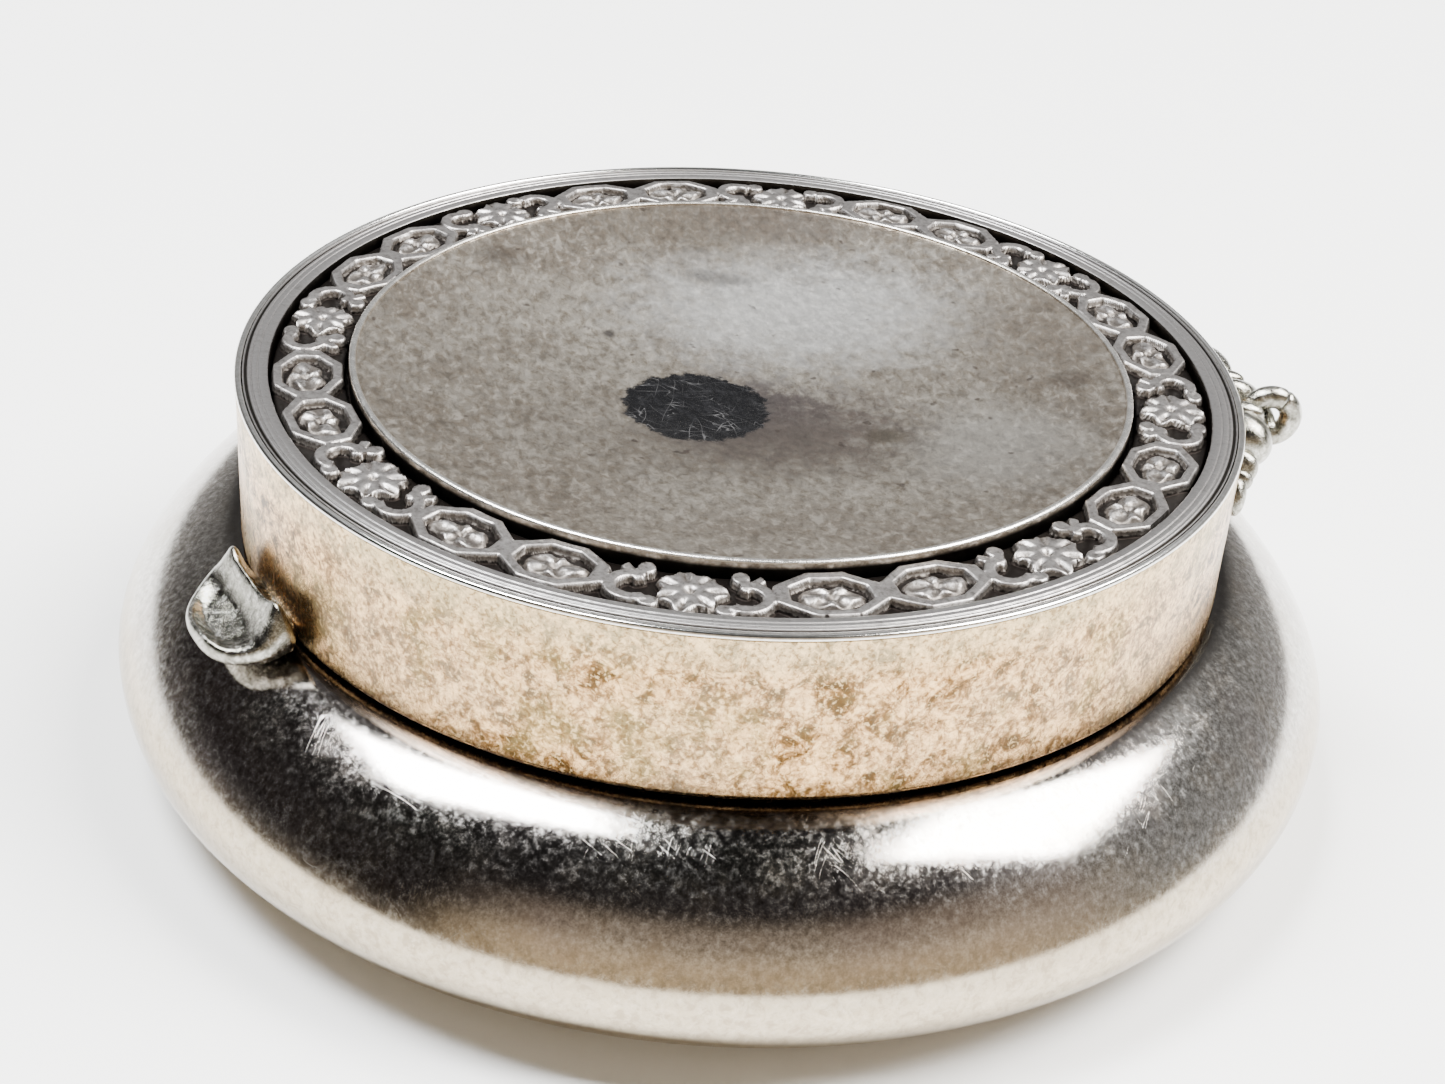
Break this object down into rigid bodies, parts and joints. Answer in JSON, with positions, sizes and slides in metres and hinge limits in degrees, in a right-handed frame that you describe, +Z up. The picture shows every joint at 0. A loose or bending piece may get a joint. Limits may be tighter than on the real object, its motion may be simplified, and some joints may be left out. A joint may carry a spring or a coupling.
{
  "type": "pill box",
  "caption": "Round silver pill box: a bulging bowl and a hinged straight-walled lid with a link border, a hollowed centre, a thumb-piece and a side ring.",
  "frame": {"origin": "middle of the bottom of the box's bounding box, on the resting face", "axes": "+Z up through the middle of the lid, -Y to the thumb-piece, +Y to the hinge, +X completes a right-handed frame"},
  "size_m": [0.0502, 0.0502, 0.0163],
  "materials": {
    "polished_silver": "polished silver with fine scratches",
    "inner_silver": "bright inner band",
    "satin_silver": "warm satin silver, faintly tarnished",
    "worn_silver": "grey satin, bright on its edges",
    "oxidised_silver": "blackened ground of the channel",
    "dish_silver": "satin grey with brownish tarnish and one dark worn spot",
    "cast_silver": "polished casting"
  },
  "bodies": {
    "base": {"bowl_bottom": "polished_silver", "bowl_shoulder": "polished_silver", "collar": "inner_silver", "hinge_bearer": "polished_silver", "base_knuckle_left": "polished_silver", "base_knuckle_right": "polished_silver", "hinge_pin": "polished_silver"},
    "lid": {"lid_wall": "satin_silver", "rim_ring": "worn_silver", "rim_wire": "polished_silver", "channel_plate": "oxidised_silver", "gallery_ring": "worn_silver", "centre_dish": "dish_silver", "thumb_piece": "cast_silver", "lid_leaf": "satin_silver", "lid_knuckle": "polished_silver", "ring_lug": "cast_silver"},
    "ring": {"jump_ring": "cast_silver"}
  },
  "joints": [
    {"name": "lid_hinge", "type": "hinge", "parent": "base", "child": "lid", "pos_m": [0, 0.02115, 0.00975], "axis": [-1, 0, 0], "range_deg": [0, 105]},
    {"name": "ring_swing", "type": "hinge", "parent": "lid", "child": "ring", "pos_m": [0.01099, 0.01828, 0.0151], "axis": [0.8572, -0.515, 0], "range_deg": [-20, 115]}
  ]
}
